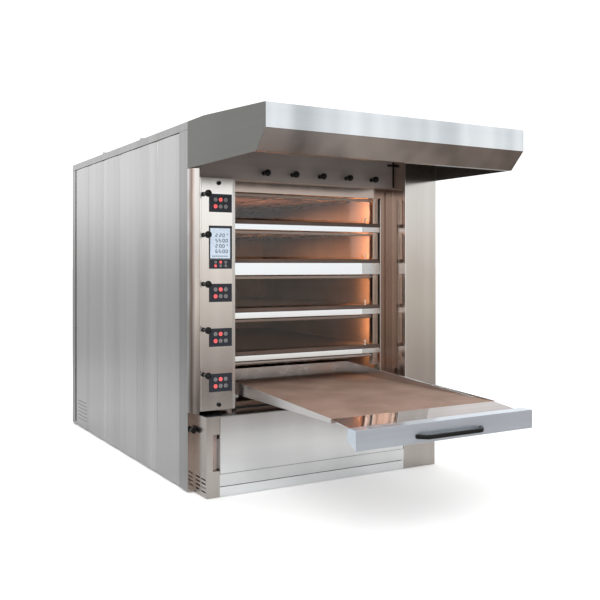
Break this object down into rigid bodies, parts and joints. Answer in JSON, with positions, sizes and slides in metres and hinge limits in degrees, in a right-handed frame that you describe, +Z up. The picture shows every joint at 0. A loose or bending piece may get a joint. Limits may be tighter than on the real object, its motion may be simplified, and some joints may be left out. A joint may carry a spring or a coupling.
{
  "type": "deck oven",
  "caption": "Free-standing multi-deck bakery oven with glass-doored baking chambers, a vapour hood, a control column and a pull-out bottom hearth.",
  "frame": {"origin": "on the floor, under the centre of the oven body's footprint (the pulled-out hearth and the hood not counted)", "axes": "+Z up, the front with its doors and controls faces -Y, +X to the right of a person facing the front"},
  "size_m": [1.9, 4.318, 2.467],
  "materials": {
    "frame_steel": "satin",
    "clad_steel": "satin",
    "bright_steel": "satin",
    "oven_steel": "satin",
    "hearth_stone": "matte",
    "black_plastic": "satin",
    "keypad_plastic": "satin",
    "display_plastic": "gloss",
    "door_glass": "gloss",
    "lamp_glass": "gloss",
    "roller_steel": "polished",
    "wool": "matte",
    "machine_paint": "satin",
    "fan_steel": "satin"
  },
  "bodies": {
    "oven": {"base_frame": "frame_steel", "base_posts": "clad_steel", "base_trim": "clad_steel", "burner": "machine_paint", "chamber_liners": "oven_steel", "combustion_chamber": "oven_steel", "control_column": "clad_steel", "control_panel": "clad_steel", "corner_pillar": "clad_steel", "corner_trim": "clad_steel", "damper_panel": "clad_steel", "deck_lamps": "lamp_glass", "deck_strips": "bright_steel", "display_window": "display_plastic", "door_stops": "bright_steel", "drawer_rails": "frame_steel", "duct_collars": "clad_steel", "fan_motor": "machine_paint", "fixed_hearths": "hearth_stone", "flue_duct": "oven_steel", "front_frame": "clad_steel", "hood_panels": "clad_steel", "insulation": "wool", "jamb_trim_rod": "bright_steel", "keypads": "keypad_plastic", "knob_bushes": "bright_steel", "levelling_feet": "frame_steel", "light_bars": "oven_steel", "radiator_panels": "oven_steel", "rear_panels": "clad_steel", "right_column": "clad_steel", "roof_panels": "clad_steel", "side_cassettes": "clad_steel", "steam_generators": "oven_steel", "thumb_screws": "black_plastic"},
    "drawer": {"drawer_hearth": "hearth_stone", "drawer_frame": "clad_steel", "drawer_ramp": "clad_steel", "drawer_front": "clad_steel", "drawer_handle": "black_plastic"},
    "front_rollers": {"front_rollers": "roller_steel"},
    "rear_rollers": {"rear_rollers": "roller_steel"},
    "fan_wheel": {"fan_wheel": "fan_steel"},
    "base_door": {"base_door": "clad_steel"},
    "lock_knob": {"lock_knob": "black_plastic"},
    "door_1": {"door_1": "door_glass"},
    "door_2": {"door_2": "door_glass"},
    "door_3": {"door_3": "door_glass"},
    "door_4": {"door_4": "door_glass"},
    "door_5": {"door_5": "door_glass"},
    "damper_knob_1": {"damper_knob_1": "black_plastic"},
    "damper_knob_2": {"damper_knob_2": "black_plastic"},
    "damper_knob_3": {"damper_knob_3": "black_plastic"},
    "damper_knob_4": {"damper_knob_4": "black_plastic"},
    "damper_knob_5": {"damper_knob_5": "black_plastic"},
    "steam_knob_1": {"steam_knob_1": "black_plastic"},
    "steam_knob_2": {"steam_knob_2": "black_plastic"},
    "steam_knob_3": {"steam_knob_3": "black_plastic"},
    "steam_knob_4": {"steam_knob_4": "black_plastic"},
    "steam_knob_5": {"steam_knob_5": "black_plastic"}
  },
  "joints": [
    {"name": "drawer_slide", "type": "slide", "parent": "oven", "child": "drawer", "axis": [0, 1, 0], "range_m": [0, 1.412]},
    {"name": "front_roller_spin", "type": "hinge", "parent": "oven", "child": "front_rollers", "pos_m": [-0.025, -1.3535, 0.5977], "axis": [1, 0, 0], "continuous": true},
    {"name": "rear_roller_spin", "type": "hinge", "parent": "drawer", "child": "rear_rollers", "pos_m": [-0.025, -0.9835, 0.5977], "axis": [1, 0, 0], "continuous": true},
    {"name": "fan_spin", "type": "hinge", "parent": "oven", "child": "fan_wheel", "pos_m": [0, 0.8165, 1.88], "axis": [0, 1, 0], "continuous": true},
    {"name": "base_door_hinge", "type": "hinge", "parent": "oven", "child": "base_door", "pos_m": [0.638, -1.5705, 0.33], "axis": [0, 0, 1], "range_deg": [0, 100]},
    {"name": "lock_turn", "type": "hinge", "parent": "oven", "child": "lock_knob", "pos_m": [-0.926, -1.4135, 0.41], "axis": [0, 1, 0], "range_deg": [0, 90]},
    {"name": "door_1_hinge", "type": "hinge", "parent": "oven", "child": "door_1", "pos_m": [-0.05, -1.3575, 1.952], "axis": [1, 0, 0], "range_deg": [0, 78]},
    {"name": "door_2_hinge", "type": "hinge", "parent": "oven", "child": "door_2", "pos_m": [-0.05, -1.3575, 1.7], "axis": [1, 0, 0], "range_deg": [0, 78]},
    {"name": "door_3_hinge", "type": "hinge", "parent": "oven", "child": "door_3", "pos_m": [-0.05, -1.3575, 1.392], "axis": [1, 0, 0], "range_deg": [0, 78]},
    {"name": "door_4_hinge", "type": "hinge", "parent": "oven", "child": "door_4", "pos_m": [-0.05, -1.3575, 1.1], "axis": [1, 0, 0], "range_deg": [0, 78]},
    {"name": "door_5_hinge", "type": "hinge", "parent": "oven", "child": "door_5", "pos_m": [-0.05, -1.3575, 0.814], "axis": [1, 0, 0], "range_deg": [-78, 0]},
    {"name": "damper_1_pull", "type": "slide", "parent": "oven", "child": "damper_knob_1", "axis": [0, -1, 0], "range_m": [0, 0.06]},
    {"name": "damper_2_pull", "type": "slide", "parent": "oven", "child": "damper_knob_2", "axis": [0, -1, 0], "range_m": [0, 0.06]},
    {"name": "damper_3_pull", "type": "slide", "parent": "oven", "child": "damper_knob_3", "axis": [0, -1, 0], "range_m": [0, 0.06]},
    {"name": "damper_4_pull", "type": "slide", "parent": "oven", "child": "damper_knob_4", "axis": [0, -1, 0], "range_m": [0, 0.06]},
    {"name": "damper_5_pull", "type": "slide", "parent": "oven", "child": "damper_knob_5", "axis": [0, -1, 0], "range_m": [0, 0.06]},
    {"name": "steam_1_pull", "type": "slide", "parent": "oven", "child": "steam_knob_1", "axis": [0, -1, 0], "range_m": [0, 0.055]},
    {"name": "steam_2_pull", "type": "slide", "parent": "oven", "child": "steam_knob_2", "axis": [0, -1, 0], "range_m": [0, 0.055]},
    {"name": "steam_3_pull", "type": "slide", "parent": "oven", "child": "steam_knob_3", "axis": [0, -1, 0], "range_m": [0, 0.055]},
    {"name": "steam_4_pull", "type": "slide", "parent": "oven", "child": "steam_knob_4", "axis": [0, -1, 0], "range_m": [0, 0.055]},
    {"name": "steam_5_pull", "type": "slide", "parent": "oven", "child": "steam_knob_5", "axis": [0, -1, 0], "range_m": [0, 0.055]}
  ],
  "couplings": [
    {"joint": "front_roller_spin", "follows": "drawer_slide", "rad_per_m": -45.455},
    {"joint": "rear_roller_spin", "follows": "drawer_slide", "rad_per_m": -45.455}
  ]
}
